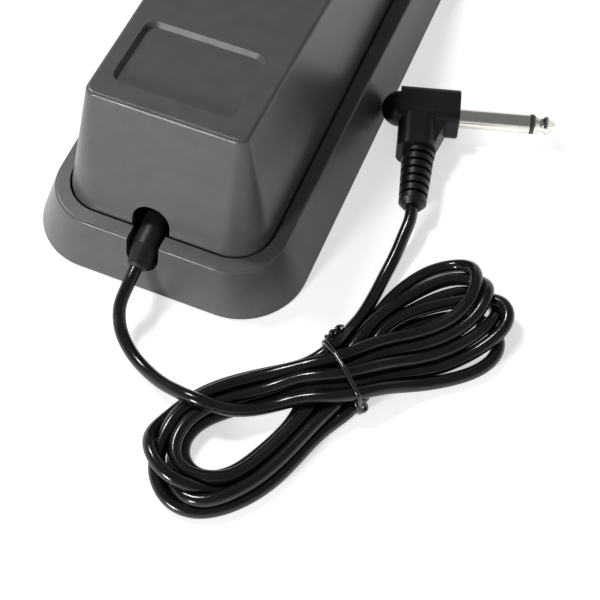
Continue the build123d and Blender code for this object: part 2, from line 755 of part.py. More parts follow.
terminal_z = switch_z - terminal_length / 2
near_terminal_y = terminal_places[2][1] + terminal_width / 2
far_terminal_y = terminal_places[0][1]
signal_route = [
    (wire_spread, inner_cord_end_y, cord_inner_z),
    (wire_spread, 35.3, 5.2),
    (-3.4, 30.4, 4.4),
    (-9.4, 27.0, wire_z),
    (-11.3, 20.0, wire_z),
    (-10.2, 11.0, wire_z),
    (-6.6, 1.0, wire_z),
    (-2.6, -8.0, 4.6),
    (0.0, -14.4, terminal_z),
    (0.0, near_terminal_y, terminal_z),
]
tube(signal_route, wire_radius, "wire_signal")
ground_route = [
    (-wire_spread, inner_cord_end_y, cord_inner_z),
    (-wire_spread, 35.8, 5.2),
    (-5.2, 32.1, 4.5),
    (-11.4, 28.2, wire_z),
    (-13.4, 20.0, wire_z),
    (-12.4, 10.0, wire_z),
    (-9.8, 0.0, wire_z),
    (-6.0, -10.0, wire_z + 0.1),
    (-3.6, -20.0, 4.3),
    (-2.7, -28.0, 4.6),
    (-3.0, -34.5, terminal_z),
    (-2.8, far_terminal_y, terminal_z),
    (-terminal_thickness / 2, far_terminal_y, terminal_z),
]
tube(ground_route, wire_radius, "wire_ground")

# ---------------------------------------------------------------- jack plug
plug_half_height = 6.35
plug_z = plug_half_height + floor_clearance
plug_direction = radians(196.5)
plug_face = Vector(-67.1, 1.8, plug_z)  # where the shaft leaves the body
plug_plane = Plane(
    origin=plug_face, x_dir=(cos(plug_direction), sin(plug_direction), 0), z_dir=(0, 0, 1)
)
plug_body_length = 19.3
plug_body_back = 8.0  # from the shaft's axis to the side away from the cord
plug_body_front = 5.2  # from the shaft's axis to the side the cord leaves on
plug_body_corner = 3.4
plug_face_round = 0.6
dome_radius = 5.7
dome_offset = 1.9
shaft_radius = 3.175
sleeve_length = 22.4
insulator_length = 1.4
core_radius = 1.6
insulator_radius = 2.3
plug_bore_clearance = 0.05

neck_x = -13.1  # middle of the neck, back from the body's face
neck_width = 12.4
neck_height = 12.3
neck_corner = 4.2
neck_length = 15.4
gusset_x = -4.1
gusset_end = 12.3
gusset_half_height = 4.6
plug_boot_x = -12.25
plug_boot_lean = 2.0  # degrees that the boot leans away from the shaft's tip
plug_boot_sink = 0.3  # before its root is trimmed flush with the neck
plug_boot_length = 20.8
plug_boot_root = 5.2
plug_boot_end = 4.35
plug_boot_tip = 2.9
plug_boot_chamfer = 1.6
plug_rib_count = 6
plug_rib_pitch = 2.9
plug_rib_gap = 1.1
plug_rib_depth = 0.9
plug_rib_start = 2.4

shaft_axis = Axis(plug_face, plug_plane.x_dir)
body_plane = Plane(origin=plug_face, x_dir=plug_plane.y_dir, z_dir=plug_plane.x_dir * -1)
neck_plane = Plane(origin=plug_face, x_dir=plug_plane.x_dir, z_dir=plug_plane.y_dir * -1)
cord_exit_direction = (plug_plane.y_dir * -1).rotate(Axis.Z, -plug_boot_lean)
plug_boot_centre = plug_plane.from_local_coords((plug_boot_x, -neck_length, 0))
plug_boot_plane = Plane(origin=plug_boot_centre, x_dir=cord_exit_direction, z_dir=(0, 0, 1))
plug_boot_axis = Axis(plug_boot_centre, cord_exit_direction)

with BuildPart() as plug_head:
    with BuildSketch(body_plane):
        with Locations(((plug_body_back - plug_body_front) / 2, 0)):
            RectangleRounded(plug_body_back + plug_body_front, 2 * plug_half_height, plug_body_corner)
    extrude(amount=plug_body_length)
    fillet(plug_head.faces().sort_by(shaft_axis)[-1].edges(), plug_face_round)
    with BuildSketch(neck_plane):
        with Locations((neck_x, 0)):
            RectangleRounded(neck_width, neck_height, neck_corner)
    extrude(amount=neck_length)
    with BuildSketch(plug_plane.offset(-gusset_half_height)):
        Polygon(
            (neck_x, 0),
            (gusset_x, 0),
            (gusset_x, -plug_body_front),
            (neck_x + neck_width / 2, -gusset_end),
            (neck_x, -gusset_end),
            align=None,
        )
    extrude(amount=2 * gusset_half_height)
    with Locations(Location(plug_plane.from_local_coords((-plug_body_length, dome_offset, 0)))):
        Sphere(dome_radius)
finish(plug_head.part, "plug_head")

with BuildPart() as plug_boot:
    with BuildSketch(plug_boot_plane):
        Polygon(
            (-plug_boot_sink, 0),
            (-plug_boot_sink, plug_boot_root),
            (plug_boot_length - plug_boot_chamfer, plug_boot_end),
            (plug_boot_length, plug_boot_tip),
            (plug_boot_length, 0),
            align=None,
        )
        for groove in range(plug_rib_count):
            start = plug_rib_start + groove * plug_rib_pitch
            taper = (plug_boot_root - plug_boot_end) * start / plug_boot_length
            with Locations((start, plug_boot_root - taper)):
                Rectangle(plug_rib_gap, 2 * plug_rib_depth, mode=Mode.SUBTRACT)
    revolve(axis=plug_boot_axis)
    add(plug_head.part, mode=Mode.SUBTRACT)
finish(plug_boot.part, "plug_boot")

with BuildPart() as plug_sleeve:
    with BuildSketch(plug_plane):
        with Locations((sleeve_length / 2, (shaft_radius + insulator_radius + plug_bore_clearance) / 2)):
            Rectangle(sleeve_length, shaft_radius - insulator_radius - plug_bore_clearance)
    revolve(axis=shaft_axis)
finish(plug_sleeve.part, "plug_sleeve")

with BuildPart() as plug_insulator:
    with BuildSketch(plug_plane):
        Polygon(
            (0, core_radius + plug_bore_clearance),
            (0, insulator_radius),
            (sleeve_length, insulator_radius),
            (sleeve_length, shaft_radius),
            (sleeve_length + insulator_length, shaft_radius),
            (sleeve_length + insulator_length, core_radius + plug_bore_clearance),
            align=None,
        )
    revolve(axis=shaft_axis)
finish(plug_insulator.part, "plug_insulator")

tip_start = sleeve_length + insulator_length
tip_profile = [  # distance along the tip and radius there
    (0, shaft_radius),
    (0.4, shaft_radius),
    (1.9, 2.3),
    (2.7, 2.3),
    (3.7, shaft_radius),
    (4.3, shaft_radius),
    (6.7, 1.3),
    (7.2, 0.65),
    (7.2, 0),
]
with BuildPart() as plug_tip:
    with BuildSketch(plug_plane):
        Polygon(
            (0, 0),
            (0, core_radius),
            (tip_start, core_radius),
            *[(tip_start + along, radius) for along, radius in tip_profile],
            align=None,
        )
    revolve(axis=shaft_axis)
finish(plug_tip.part, "plug_tip")

# ---------------------------------------------------------------- cord outside the pedal
pedal_lead_route = [
    boot_end,
    boot_end + boot_direction * 5,
    (2.0, 107.0, 8.3),
    (-0.5, 112.2, 4.3),
    (-5.6, 116.6, 2.6),
    (-12.2, 120.3, 2.9),
    (-19.6, 123.6, 5.4),
    (-27.2, 125.6, 8.2),
]
plug_exit = plug_boot_centre + cord_exit_direction * plug_boot_length
plug_lead_route = [
    plug_exit,
    plug_exit + cord_exit_direction * 3.6,
    (-65.95, 50.0, 5.4),
    (-65.8, 57.0, 3.7),
    (-65.2, 64.0, 2.5),
    (-64.7, 72.0, 2.15),
    (-63.8, 80.0, 2.5),
    (-62.3, 87.5, 4.4),
]
tube(pedal_lead_route, cord_diameter / 2, "cord_pedal_lead")
tube(plug_lead_route, cord_diameter / 2, "cord_plug_lead")

# the hank: two fans of turns with a narrow tied waist between them
hank_height = 9.4
hank_outline = [
    (-62.0, 97.0),
    (-46.3, 106.0),
    (-37.0, 113.2),
    (-30.0, 119.5),
    (-23.6, 127.5),
    (-22.0, 136.5),
    (-24.0, 146.5),
    (-30.5, 154.5),
    (-40.0, 157.2),
    (-50.0, 153.2),
    (-59.5, 144.0),
    (-65.5, 131.5),
    (-70.5, 117.5),
    (-74.5, 109.5),
    (-88.0, 97.6),
    (-99.0, 91.0),
    (-105.5, 83.0),
    (-106.8, 72.0),
    (-106.3, 62.0),
    (-99.5, 57.0),
    (-90.5, 50.8),
    (-82.0, 51.8),
    (-75.0, 59.0),
    (-69.5, 69.5),
    (-67.2, 79.5),
    (-61.5, 89.0),
]
left_window = [
    (-35.2, 133.2),
    (-36.2, 140.0),
    (-41.0, 143.2),
    (-46.8, 141.0),
    (-53.5, 130.0),
    (-56.8, 120.0),
    (-50.0, 123.4),
    (-40.0, 128.0),
]
right_window = [
    (-76.0, 84.5),
    (-77.5, 78.0),
    (-81.0, 71.5),
    (-85.5, 67.5),
    (-90.5, 67.5),
    (-90.5, 72.5),
    (-84.0, 80.0),
]
lead_hole_radius = 2.5
lead_hole_length = 8.5

tie_plane = Plane(origin=(-67.8, 103.4, 0), x_dir=(-0.76, 0.65, 0), z_dir=(0.65, 0.76, 0))
tie_radius = 0.7
tie_gap = 0.2
tie_half_width = 10.8
tie_low = 0.8
tie_high = hank_height + floor_clearance + tie_radius + tie_gap + 0.1
tie_route = [
    tie_plane.from_local_coords(point)
    for point in [
        (-14.9, 10.4, -8.8),
        (-13.2, 11.0, -3.9),
        (-tie_half_width - 0.1, 6.4, -0.3),
        (-tie_half_width, tie_low, 0),
        (tie_half_width, tie_low, 0),
        (tie_half_width, tie_high, 0),
        (-9.6, tie_high, 0.4),
        (-13.4, tie_high - 0.8, 2.8),
    ]
]
tie_groove = 2.4
tie_core_width = 2 * (tie_half_width - tie_radius - tie_gap)
tie_core_height = tie_high - tie_low - 2 * (tie_radius + tie_gap)
tie_core_corner = 3.5

with BuildPart() as tie_cut:
    with BuildSketch(tie_plane.offset(-tie_groove / 2)):
        with Locations((0, (tie_low + tie_high) / 2)):
            Rectangle(4 * tie_half_width, 2 * tie_high)
            RectangleRounded(tie_core_width, tie_core_height, tie_core_corner, mode=Mode.SUBTRACT)
    extrude(amount=tie_groove)

with BuildPart() as cord_hank:
    with BuildSketch(Plane.XY.offset(floor_clearance)):
        for outline, mode in (
            (hank_outline, Mode.ADD),
            (left_window, Mode.SUBTRACT),
            (right_window, Mode.SUBTRACT),
        ):
            with BuildLine():
                around = corner_radii([outline[-1], *outline, outline[0]])
                FilletPolyline(*outline, radius=around, close=True)
            make_face(mode=mode)
    extrude(amount=hank_height)
    add(tie_cut.part, mode=Mode.SUBTRACT)
    for before, end in (pedal_lead_route[-2:], plug_lead_route[-2:]):
        arriving = Vector(end) - Vector(before)
        with BuildSketch(Plane(origin=end, z_dir=arriving * -1)):
            Circle(lead_hole_radius)
        extrude(amount=lead_hole_length, mode=Mode.SUBTRACT)
finish(cord_hank.part, "cord_hank")

tube(tie_route, tie_radius, "cord_tie")
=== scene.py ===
import json
import math
import bpy
import numpy as np
from mathutils import Matrix, Vector


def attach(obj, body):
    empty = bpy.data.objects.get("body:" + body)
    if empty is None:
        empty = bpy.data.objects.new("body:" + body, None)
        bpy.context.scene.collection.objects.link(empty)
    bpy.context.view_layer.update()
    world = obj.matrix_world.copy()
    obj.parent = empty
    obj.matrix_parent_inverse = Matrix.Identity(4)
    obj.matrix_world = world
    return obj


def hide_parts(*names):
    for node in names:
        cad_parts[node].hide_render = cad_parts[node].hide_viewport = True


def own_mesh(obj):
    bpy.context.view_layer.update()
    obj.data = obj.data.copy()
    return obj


# A sustain pedal on a pale table, its cord tied in a hank beside it. The CAD frame gives every hard
# piece its place. This script adds the cord's real course, the wire tie and the looks.
# The scene is in metres. Cord and tie are laid out in millimetres and scaled as they are drawn.

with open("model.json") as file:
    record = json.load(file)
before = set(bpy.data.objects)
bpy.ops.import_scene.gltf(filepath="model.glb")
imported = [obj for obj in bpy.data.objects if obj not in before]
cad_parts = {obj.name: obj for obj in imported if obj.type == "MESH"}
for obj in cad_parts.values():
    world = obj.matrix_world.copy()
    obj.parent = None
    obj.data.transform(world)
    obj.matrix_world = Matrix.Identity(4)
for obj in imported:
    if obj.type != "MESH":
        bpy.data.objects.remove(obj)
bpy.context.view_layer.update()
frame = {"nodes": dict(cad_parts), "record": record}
MM = 0.001
nodes = frame["nodes"]

# ---------------------------------------------------------------- materials
BROAD_SHARE = 14  # how many times broader the mottling is than the grain
BROAD_DETAIL = 3
FINE_DETAIL = 4
NOISE_ROUGHNESS = 0.55
NOISE_RANGE = (0.3, 0.7)  # where most of a noise texture's values lie
COAT_ROUGHNESS = 0.12
MOULDED_RELIEF = 0.00002
PLATED_RELIEF = 0.000006


def tree(material):
    """A material's nodes, links and shader."""
    material.use_nodes = True
    parts = material.node_tree
    return parts.nodes, parts.links, parts.nodes["Principled BSDF"]


def noise(tree_nodes, links, coordinates, scale, detail):
    """A noise texture on the given coordinates."""
    texture = tree_nodes.new("ShaderNodeTexNoise")
    texture.inputs["Scale"].default_value = scale
    texture.inputs["Detail"].default_value = detail
    texture.inputs["Roughness"].default_value = NOISE_ROUGHNESS
    links.new(coordinates, texture.inputs["Vector"])
    return texture.outputs["Fac"]


def ramp(tree_nodes, links, value, low, high, span=NOISE_RANGE):
    """Maps the values of a span onto low to high."""
    mapping = tree_nodes.new("ShaderNodeMapRange")
    mapping.inputs["From Min"].default_value = span[0]
    mapping.inputs["From Max"].default_value = span[1]
    mapping.inputs["To Min"].default_value = low
    mapping.inputs["To Max"].default_value = high
    links.new(value, mapping.inputs["Value"])
    return mapping.outputs["Result"]


def tint(tree_nodes, links, value, dark, light):
    """A colour that runs from dark to light with a 0 to 1 value."""
    mix = tree_nodes.new("ShaderNodeMix")
    mix.data_type = "RGBA"
    mix.inputs["A"].default_value = (*dark, 1)
    mix.inputs["B"].default_value = (*light, 1)
    links.new(value, mix.inputs["Factor"])
    return mix.outputs["Result"]


def bump(tree_nodes, links, shader, height, distance):
    """Fine relief in the finish."""
    relief = tree_nodes.new("ShaderNodeBump")
    relief.inputs["Distance"].default_value = distance
    relief.inputs["Strength"].default_value = 1.0
    links.new(height, relief.inputs["Height"])
    links.new(relief.outputs["Normal"], shader.inputs["Normal"])


def finish_material(
    name, dark, light, rough, grain, metallic=0.0, specular=0.5, coat=0.0, relief=MOULDED_RELIEF
):
    """A moulded, drawn or plated finish: broad mottling, and fine grain in gloss and relief."""
    material = bpy.data.materials.new(name)
    tree_nodes, links, shader = tree(material)
    place = tree_nodes.new("ShaderNodeTexCoord").outputs["Object"]
    broad = noise(tree_nodes, links, place, grain / BROAD_SHARE, BROAD_DETAIL)
    fine = noise(tree_nodes, links, place, grain, FINE_DETAIL)
    colour = tint(tree_nodes, links, ramp(tree_nodes, links, broad, 0, 1), dark, light)
    links.new(colour, shader.inputs["Base Color"])
    links.new(ramp(tree_nodes, links, fine, *rough), shader.inputs["Roughness"])
    shader.inputs["Metallic"].default_value = metallic
    shader.inputs["Specular IOR Level"].default_value = specular
    shader.inputs["Coat Weight"].default_value = coat
    shader.inputs["Coat Roughness"].default_value = COAT_ROUGHNESS
    bump(tree_nodes, links, shader, fine, relief)
    return material


PLAIN = {}
METAL = {"metallic": 1.0}
PLATED = {"metallic": 1.0, "relief": PLATED_RELIEF}
# each slot's finish: dark and light colour, least and most roughness, grain, and what else it has
FINISHES = {
    "frame_plastic": ((0.078, 0.078, 0.079), (0.094, 0.093, 0.093), (0.28, 0.36), 2600, PLAIN),
    "treadle_plastic": ((0.078, 0.077, 0.077), (0.094, 0.093, 0.092), (0.28, 0.36), 2600, PLAIN),
    "plate_plastic": ((0.03, 0.03, 0.031), (0.045, 0.045, 0.045), (0.5, 0.62), 1800, PLAIN),
    "foot_rubber": ((0.02, 0.02, 0.02), (0.032, 0.032, 0.031), (0.7, 0.85), 3200, PLAIN),
    "bumper_rubber": ((0.06, 0.06, 0.06), (0.08, 0.08, 0.078), (0.7, 0.85), 3200, PLAIN),
    "screw_steel": ((0.5, 0.5, 0.52), (0.66, 0.66, 0.67), (0.28, 0.42), 3000, METAL),
    "pin_steel": ((0.56, 0.56, 0.58), (0.68, 0.68, 0.69), (0.2, 0.32), 3000, METAL),
    "spring_steel": ((0.42, 0.42, 0.44), (0.54, 0.54, 0.56), (0.25, 0.4), 3000, METAL),
    "switch_plastic": ((0.04, 0.04, 0.045), (0.055, 0.055, 0.06), (0.4, 0.5), 2600, PLAIN),
    "switch_red": ((0.5, 0.045, 0.035), (0.58, 0.06, 0.045), (0.3, 0.4), 2600, PLAIN),
    "contact_brass": ((0.66, 0.56, 0.36), (0.78, 0.66, 0.42), (0.25, 0.4), 2600, METAL),
    "boot_rubber": (
        (0.005, 0.005, 0.005), (0.009, 0.009, 0.009), (0.4, 0.52), 2200, {"specular": 0.35}
    ),
    "cord_jacket": (
        (0.004, 0.004, 0.004), (0.008, 0.008, 0.008), (0.12, 0.2), 1400, {"specular": 0.45}
    ),
    "tie_plastic": ((0.006, 0.006, 0.006), (0.012, 0.012, 0.012), (0.1, 0.2), 2200, {"coat": 0.4}),
    "wire_red": ((0.42, 0.025, 0.025), (0.52, 0.04, 0.035), (0.25, 0.38), 2600, PLAIN),
    "wire_black": ((0.012, 0.012, 0.012), (0.02, 0.02, 0.02), (0.25, 0.38), 2600, PLAIN),
    "plug_plastic": (
        (0.004, 0.004, 0.004), (0.007, 0.007, 0.007), (0.3, 0.42), 2400, {"specular": 0.3}
    ),
    "plug_nickel": ((0.72, 0.70, 0.66), (0.82, 0.80, 0.76), (0.08, 0.2), 2400, PLATED),
    "plug_ring": ((0.02, 0.02, 0.02), (0.03, 0.03, 0.03), (0.35, 0.5), 2400, PLAIN),
}
MATERIALS = {
    name: finish_material(name, dark, light, rough, grain, **special)
    for name, (dark, light, rough, grain, special) in FINISHES.items()
}

slot_of = {row["node"]: row["material_slot"] for row in frame["record"]["subparts"]}
for name, piece in nodes.items():
    piece.data.materials.clear()
    piece.data.materials.append(MATERIALS[slot_of[name]])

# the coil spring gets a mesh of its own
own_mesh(nodes["return_spring"])

# ---------------------------------------------------------------- the cord's given course
CORD = 4.0  # its diameter
BOOT_LENGTH = 2.0  # how far it runs on into the boot at each end
# the two leads lie where the CAD has them
PEDAL_LEAD = [
    (1.8, 95.6, 12.6),
    (1.8, 100.52, 11.73),
    (2.0, 107.0, 8.3),
    (-0.5, 112.2, 4.3),
    (-5.6, 116.6, 2.6),
    (-12.2, 120.3, 2.9),
    (-19.6, 123.6, 5.4),
    (-27.2, 125.6, 8.2),
]
PLUG_LEAD = [
    (-62.3, 87.5, 4.4),
    (-63.8, 80.0, 2.5),
    (-64.7, 72.0, 2.15),
    (-65.2, 64.0, 2.5),
    (-65.8, 57.0, 3.7),
    (-65.95, 50.0, 5.4),
    (-65.837, 43.667, 6.45),
    (-64.936, 40.182, 6.45),
]
# the pedal lead's way over the left loop to the tie
CROSSING = [(-34.5, 126.4, 8.4), (-42.0, 123.9, 6.4), (-49.5, 119.4, 5.4), (-56.0, 114.6, 5.8)]
# turns of the right loop, from the tie round to the tie again: the lowest, the next and the last
RIGHT_FIRST = [
    (-77.8, 100.6, 7.0), (-83.6, 96.8, 4.4), (-92.2, 91.2, 2.6), (-99.3, 85.7, 2.1),
    (-103.5, 80.0, 2.1), (-104.5, 74.0, 2.1), (-103.0, 69.8, 2.1), (-99.2, 67.2, 2.1),
    (-93.8, 67.7, 2.1), (-87.9, 70.2, 2.1), (-82.1, 74.6, 2.1), (-77.6, 79.0, 2.1),
    (-72.8, 84.8, 2.3),
]
RIGHT_SECOND = [
    (-76.3, 97.6, 6.4), (-83.5, 92.6, 4.6), (-90.6, 86.8, 3.4), (-97.3, 80.0, 3.4),
    (-102.2, 74.2, 4.5), (-104.6, 68.8, 5.6), (-103.8, 63.9, 5.6), (-100.2, 61.4, 4.8),
    (-95.2, 62.2, 4.0), (-89.8, 65.0, 4.0), (-83.6, 69.2, 4.0), (-77.7, 74.6, 4.0),
    (-71.9, 81.0, 3.6),
]
RIGHT_LAST = [
    (-72.6, 88.6, 7.4), (-79.0, 84.0, 6.8), (-85.0, 79.0, 7.4), (-89.7, 73.4, 9.0),
    (-92.5, 66.6, 10.0), (-92.8, 59.5, 8.0), (-89.8, 54.0, 5.0), (-84.5, 52.5, 3.0),
    (-78.5, 56.0, 2.2), (-73.0, 63.5, 2.1), (-69.3, 71.5, 2.1), (-65.8, 80.5, 2.3),
    (-63.6, 88.0, 2.6),
]
# the outermost and the innermost turn of the left loop
LEFT_OUTER = [
    (-66.8, 116.5, 2.4), (-64.5, 125.0, 2.1), (-61.5, 134.0, 2.1), (-57.4, 142.3, 2.1),
    (-51.3, 149.4, 2.1), (-43.8, 154.0, 2.1), (-36.2, 154.4, 2.1), (-30.0, 151.3, 2.1),
    (-26.4, 146.2, 2.1), (-25.0, 140.2, 2.1), (-25.0, 133.5, 2.1), (-26.7, 127.3, 2.1),
    (-30.5, 120.6, 2.1), (-37.0, 114.2, 2.2), (-44.5, 108.4, 2.8), (-52.5, 103.2, 4.2),
]
LEFT_INNER = [
    (-59.0, 117.5, 2.4), (-55.5, 126.0, 2.1), (-52.0, 133.5, 2.1), (-48.5, 139.8, 2.1),
    (-44.5, 143.3, 2.1), (-40.3, 144.2, 2.1), (-36.3, 143.0, 2.1), (-33.2, 140.2, 2.1),
    (-31.6, 136.5, 2.1), (-31.8, 132.5, 2.1), (-33.5, 129.0, 2.1), (-36.8, 125.7, 2.1),
    (-42.0, 121.4, 2.1), (-48.0, 116.6, 2.2), (-54.5, 112.2, 3.0), (-60.5, 108.2, 4.6),
]
# the tie's middle, and the directions across and along the strands in it
TIE = np.array([-67.8, 103.4])
ACROSS = np.array([-0.76, 0.65])
ALONG = np.array([0.65, 0.76])
# where each pass goes through the tie: how far across and how high
LEAD_PASS = (5.2, 8.8)
OVER_PASSES = [(-6.2, 9.2), (2.4, 7.2), (-3.3, 7.2), (-0.5, 9.2)]
UNDER_PASSES = [(5.4, 3.6), (-9.0, 3.6), (1.8, 3.6), (-5.4, 3.6), (-1.8, 3.6)]
OVER_SLANT = -0.22
UNDER_SLANT = 0.45
PASS_AT = (4, -4)
# each turn's place in the right loop, and in the left loop as it comes in and as it leaves
TURNS = [(0, 0, 1), (4, 4, 4), (1, 1, 2), (3, 3, 3), (2, 2, 0)]
LAST_PLACE = 4
RIGHT_FOLD = 7  # the point of a right turn from which it runs back to the tie
RIGHT_LIFT = 1.6  # every other turn runs back this much higher
LEFT_LIFT = 3.4  # every other turn of the left loop lies this much higher
CHANGE_FROM, CHANGE_OVER = 3, 8  # from which point a left turn changes its place, over how many
CHANGE_RISE = 24  # four times the height at which it passes over the turns between
# the last turn leaves the tie along its side: how far across, along and how high
LAST_WAY = [(-8.8, 4, 6.0), (-9.8, 0, 6.2), (-11.6, -4, 5.6)]


def at_tie(across, along, height):
    """A point given across and along the tie."""
    return (*(TIE + ACROSS * across + ALONG * along), height)


def through(passing, slant, way=1):
    """A strand's two points in the tie, which it goes through at a slant."""
    across, height = passing
    steps = [way * along for along in PASS_AT]
    return [at_tie(across + slant * along, along, height) for along in steps]


def between(first, last, share):
    """Points part of the way from one turn to another."""
    first = np.array(first)
    return first + (np.array(last) - first) * share


def right_turn(place):
    """One turn of the right loop; place 0 is the lowest."""
    if place == 0:
        return RIGHT_FIRST
    turn = between(RIGHT_SECOND, RIGHT_LAST, (place - 1) / (LAST_PLACE - 1))
    turn[RIGHT_FOLD:, 2] += RIGHT_LIFT * (place % 2)
    return turn.tolist()


def left_turn(place_in, place_out):
    """One turn of the left loop, which may change its place there; place 0 is the outermost."""
    share = np.clip((np.arange(len(LEFT_OUTER)) - CHANGE_FROM) / CHANGE_OVER, 0, 1)
    share = share * share * (3 - 2 * share)
    place = place_in + (place_out - place_in) * share
    turn = between(LEFT_OUTER, LEFT_INNER, place[:, None] / LAST_PLACE)
    turn[:, 2] += LEFT_LIFT * ((1 - share) * (place_in % 2) + share * (place_out % 2))
    if abs(place_out - place_in) > 1:
        turn[:, 2] += CHANGE_RISE * share * (1 - share)
    return turn.tolist()


def rough_course():
    """The cord's given course from boot to plug, and which of its points are held."""
    course = PEDAL_LEAD + CROSSING + through(LEAD_PASS, OVER_SLANT)
    for turn, (right, left_in, left_out) in enumerate(TURNS):
        course += right_turn(right)
        course += through(UNDER_PASSES[turn], UNDER_SLANT, way=-1)
        course += left_turn(left_in, left_out)
        if turn < len(OVER_PASSES):
            course += through(OVER_PASSES[turn], OVER_SLANT)
    course += [at_tie(*place) for place in LAST_WAY]
    middle = len(course) - len(PEDAL_LEAD)
    held = [True] * len(PEDAL_LEAD) + [False] * middle + [True] * len(PLUG_LEAD)
    return np.array(course + PLUG_LEAD, float), np.array(held)


# ---------------------------------------------------------------- the cord at rest
STEP = 2.5  # between its points
SPLITS = 10  # how many times a piece between two points is split to smooth it
ROUNDS = 320  # of settling
LOOK_EVERY = 10  # rounds from one search for strands near each other to the next
LOOK_BEYOND = 4.0  # how far beyond touching that search goes
OWN_LENGTH = 1.6 * CORD  # points closer than this along the cord don't push each other
PUSH = 0.25  # the share of an overlap that each strand gives way by
PUSH_WAYS = np.array([0.8, 0.8, 1.2])  # strands give way upwards more than sideways
STIFF_PASSES = 3
STIFFNESS = 0.22
HOMING = 0.018  # the share of the way back to the given course
SINKING = 0.01  # how far its weight takes it down in a round
LENGTH_PASSES = 2
LENGTH_PULL = 0.25
TIE_HALF = 2.0  # how far along the strands the tie's wire holds them up
ON_WIRE = 3.5  # lowest height of the cord's middle over the wire
ON_TABLE = 2.05  # and over the table
TINY = 1e-6


def steps_of(points):
    """The length of each step along a course."""
    return np.linalg.norm(np.diff(points, axis=0), axis=1)


def reach_of(points):
    """How far along a course each of its points lies."""
    return np.r_[0, np.cumsum(steps_of(points))]


def evenly(points, step):
    """A course in even steps; a fourth number of its points goes along with them."""
    run = reach_of(points[:, :3])
    marks = np.linspace(0, run[-1], int(round(run[-1] / step)) + 1)
    return np.column_stack([np.interp(marks, run, column) for column in points.T])


def smooth(points, held):
    """A smooth curve through the points, in even steps, and which of its points are held."""
    run = steps_of(points)[:, None]
    pitch = np.diff(points, axis=0) / run
    inner = (pitch[:-1] * run[1:] + pitch[1:] * run[:-1]) / (run[:-1] + run[1:])
    slope = np.vstack([pitch[:1], inner, pitch[-1:]])
    fine = []
    for i in range(len(run)):
        for t in np.arange(0, 1, 1 / SPLITS):
            start = (2 * t**3 - 3 * t**2 + 1) * points[i]
            start += (t**3 - 2 * t**2 + t) * run[i] * slope[i]
            end = (3 * t**2 - 2 * t**3) * points[i + 1]
            end += (t**3 - t**2) * run[i] * slope[i + 1]
            fine.append((*(start + end), held[i] and held[i + 1]))
    even = evenly(np.array(fine + [(*points[-1], True)], float), STEP)
    return even[:, :3], even[:, 3] > 0.5


def push_apart(points, pairs):
    """How touching strands move each other, softened where many push the same point."""
    first, second = pairs
    gap = points[second] - points[first]
    reach = np.linalg.norm(gap, axis=1)
    hit = reach < CORD
    push = gap[hit] / np.maximum(reach[hit], TINY)[:, None] * (CORD - reach[hit])[:, None] * PUSH
    push = push * PUSH_WAYS
    total = np.zeros_like(points)
    hits = np.zeros(len(points))
    for index, move in ((first[hit], -push), (second[hit], push)):
        np.add.at(total, index, move)
        np.add.at(hits, index, 1)
    return total / np.sqrt(np.maximum(hits, 1))[:, None]


def straighten(points):
    """How the cord's stiffness evens out its bends."""
    sag = np.zeros_like(points)
    sag[1:-1] = 0.5 * (points[:-2] + points[2:]) - points[1:-1]
    bend = np.zeros_like(points)
    bend[2:-2] = sag[2:-2] - 0.5 * (sag[1:-3] + sag[3:-1])
    return STIFFNESS * bend


def keep_length(points, rest):
    """How each step pulls its ends back to its own length."""
    edge = np.diff(points, axis=0)
    length = np.linalg.norm(edge, axis=1)
    pull = ((length - rest) / np.maximum(length, TINY) * LENGTH_PULL)[:, None] * edge
    move = np.zeros_like(points)
    move[:-1] += pull
    move[1:] -= pull
    return move


def settle():
    """Lets the given course push its turns apart, straighten and lie on the table."""
    points, held = smooth(*rough_course())
    home = points.copy()
    free = ~held
    first, second = np.triu_indices(len(points), int(round(OWN_LENGTH / STEP)) + 1)
    rest = steps_of(points)
    for turn in range(ROUNDS):
        if turn % LOOK_EVERY == 0:
            near = np.linalg.norm(points[first] - points[second], axis=1) < CORD + LOOK_BEYOND
            pairs = first[near], second[near]
        points[free] += push_apart(points, pairs)[free]
        for _ in range(STIFF_PASSES):
            points[free] += straighten(points)[free]
        points[free] += HOMING * (home - points)[free]
        points[free, 2] -= SINKING
        for _ in range(LENGTH_PASSES):
            points[free] += keep_length(points, rest)[free]
        along = (points[:, :2] - TIE) @ ALONG
        lowest = np.where(np.abs(along) < TIE_HALF, ON_WIRE, ON_TABLE)
        points[free, 2] = np.maximum(points[free, 2], lowest[free])
    return points


hank = settle()
into_boot = (hank[0] - hank[1]) / np.linalg.norm(hank[0] - hank[1])
into_plug = (hank[-1] - hank[-2]) / np.linalg.norm(hank[-1] - hank[-2])
course = np.vstack([hank[0] + into_boot * BOOT_LENGTH, hank, hank[-1] + into_plug * BOOT_LENGTH])

# ---------------------------------------------------------------- the cord's shape
SPLINE_ORDER = 3
SPLINE_SPLITS = 3
CORD_SIDES = 4
WIRE_SIDES = 3


def add_spline(curve, points, closed=False):
    """A smooth NURBS course along points given in millimetres."""
    spline = curve.splines.new("NURBS")
    spline.points.add(len(points) - 1)
    for knot, point in zip(spline.points, points):
        knot.co = (*(float(value) * MM for value in point), 1)
    spline.order_u = SPLINE_ORDER
    spline.resolution_u = SPLINE_SPLITS
    spline.use_cyclic_u = closed
    spline.use_endpoint_u = not closed


def round_curve(name, radius, material, sides):
    """An empty curve that makes round cord or wire, and its object."""
    curve = bpy.data.curves.new(name, "CURVE")
    curve.dimensions = "3D"
    curve.bevel_depth = radius * MM
    curve.bevel_resolution = sides
    curve.use_fill_caps = True
    curve.materials.append(material)
    piece = bpy.data.objects.new(name, curve)
    bpy.context.scene.collection.objects.link(piece)
    return curve, piece


